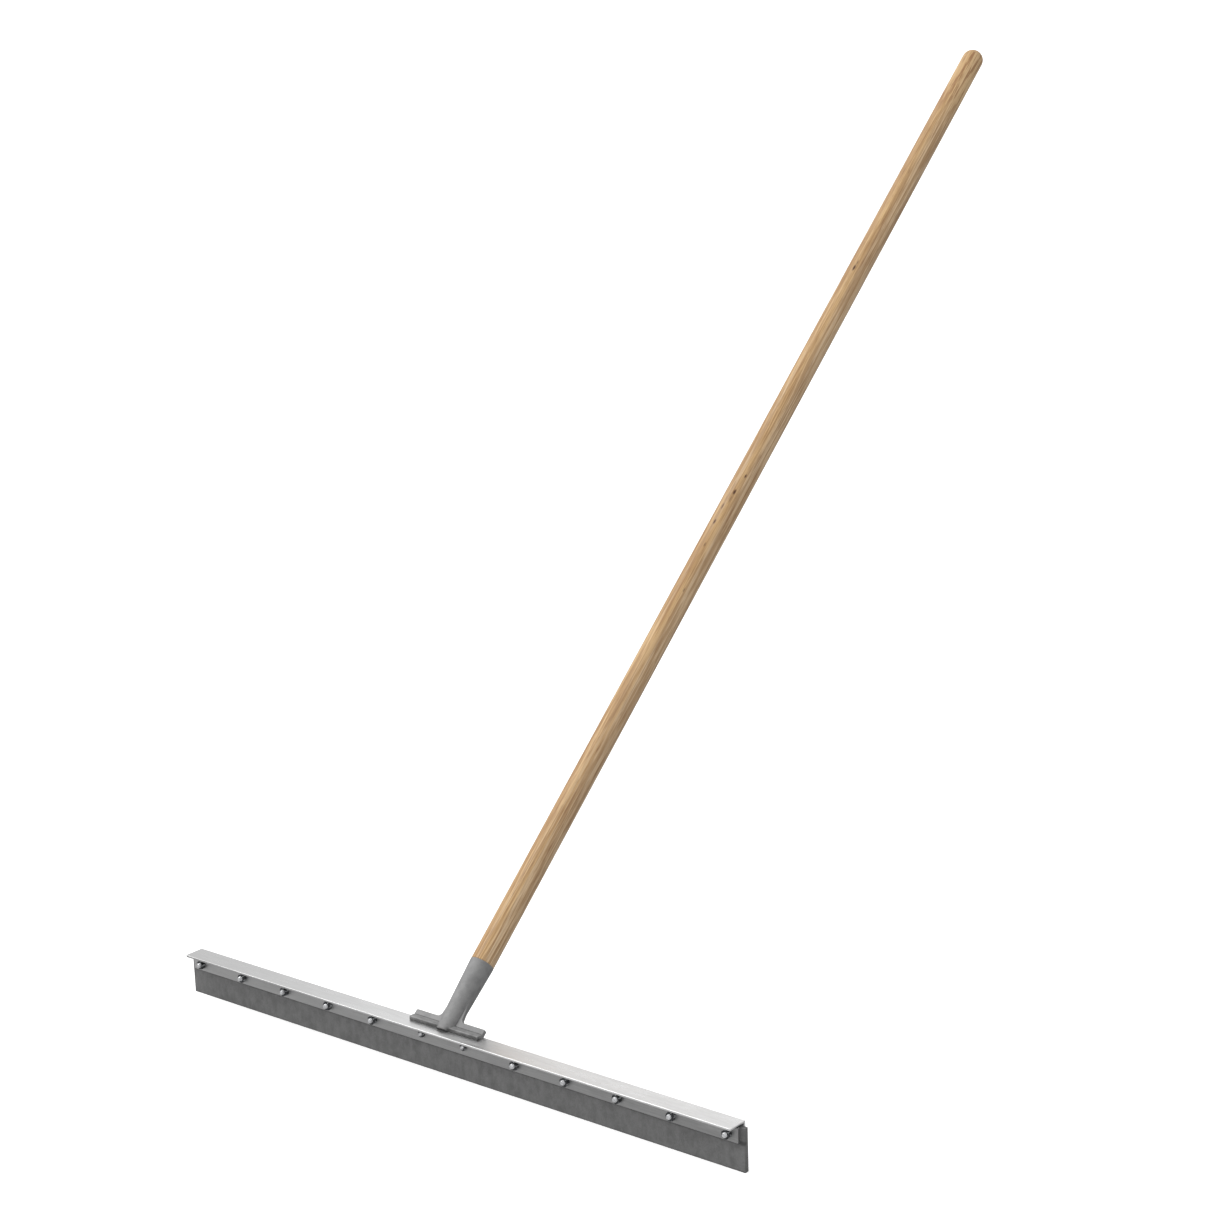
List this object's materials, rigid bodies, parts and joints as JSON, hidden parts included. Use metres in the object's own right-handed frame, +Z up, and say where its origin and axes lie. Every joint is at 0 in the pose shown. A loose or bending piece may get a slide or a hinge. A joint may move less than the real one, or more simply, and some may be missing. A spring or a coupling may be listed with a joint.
{
  "type": "floor squeegee",
  "caption": "Long straight rubber blade bolted under an angle frame, with a cast socket and a leaning wooden handle.",
  "frame": {"origin": "on the rubber blade's bottom face, below the middle of the frame, at mid thickness of the rubber", "axes": "+X to the right along the blade, +Y back towards the side the handle leans to, +Z up"},
  "size_m": [0.9281, 1.2866, 1.1987],
  "materials": {
    "rubber": "matt grey rubber",
    "frame": "brushed mill finish",
    "bar": "brushed mill finish",
    "casting": "as cast, matt",
    "wood": "clear coated hardwood",
    "zinc": "zinc plated"
  },
  "bodies": {
    "root": {"rubber_blade": "rubber", "frame_angle": "frame", "clamp_bar": "bar", "handle_socket": "casting", "handle": "wood", "handle_screw": "zinc", "blade_bolt_1": "zinc", "blade_bolt_2": "zinc", "blade_bolt_3": "zinc", "blade_bolt_4": "zinc", "blade_bolt_5": "zinc", "blade_bolt_6": "zinc", "blade_bolt_7": "zinc", "blade_bolt_8": "zinc", "blade_bolt_9": "zinc", "blade_bolt_10": "zinc", "blade_nut_1": "zinc", "blade_nut_2": "zinc", "blade_nut_3": "zinc", "blade_nut_4": "zinc", "blade_nut_5": "zinc", "blade_nut_6": "zinc", "blade_nut_7": "zinc", "blade_nut_8": "zinc", "blade_nut_9": "zinc", "blade_nut_10": "zinc", "socket_bolt_1": "zinc", "socket_bolt_2": "zinc", "socket_nut_1": "zinc", "socket_nut_2": "zinc"}
  },
  "joints": []
}
